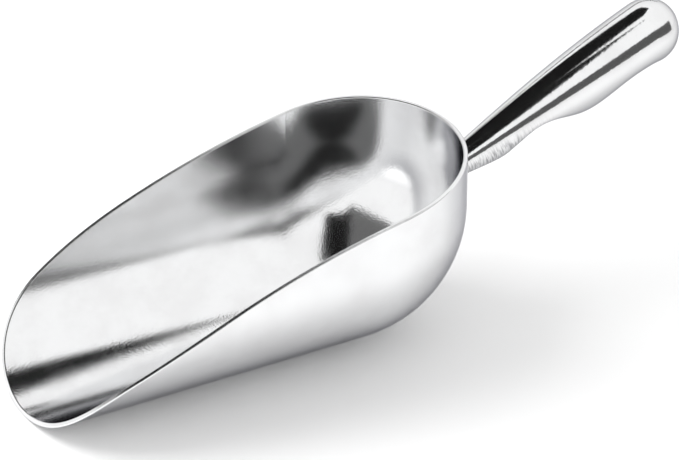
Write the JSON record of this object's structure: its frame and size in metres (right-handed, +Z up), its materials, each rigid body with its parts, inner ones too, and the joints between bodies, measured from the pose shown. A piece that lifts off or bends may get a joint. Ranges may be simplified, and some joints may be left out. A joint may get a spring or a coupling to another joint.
{
  "type": "ice scoop",
  "caption": "Round-bottomed aluminium scoop with an open, slanted mouth and a raised, contoured handle, for lifting ice out of a bin.",
  "frame": {"origin": "middle of the overall length and width, on the surface the bowl rests on", "axes": "+X from the pouring lip towards the handle, +Y to the left when looking along +X, +Z up"},
  "size_m": [0.3244, 0.108, 0.1184],
  "materials": {
    "bowl": "polished casting",
    "handle": "polished casting",
    "handle_weld": "ground and buffed"
  },
  "bodies": {
    "root": {"bowl": "bowl", "handle": "handle", "handle_weld": "handle_weld"}
  },
  "joints": []
}
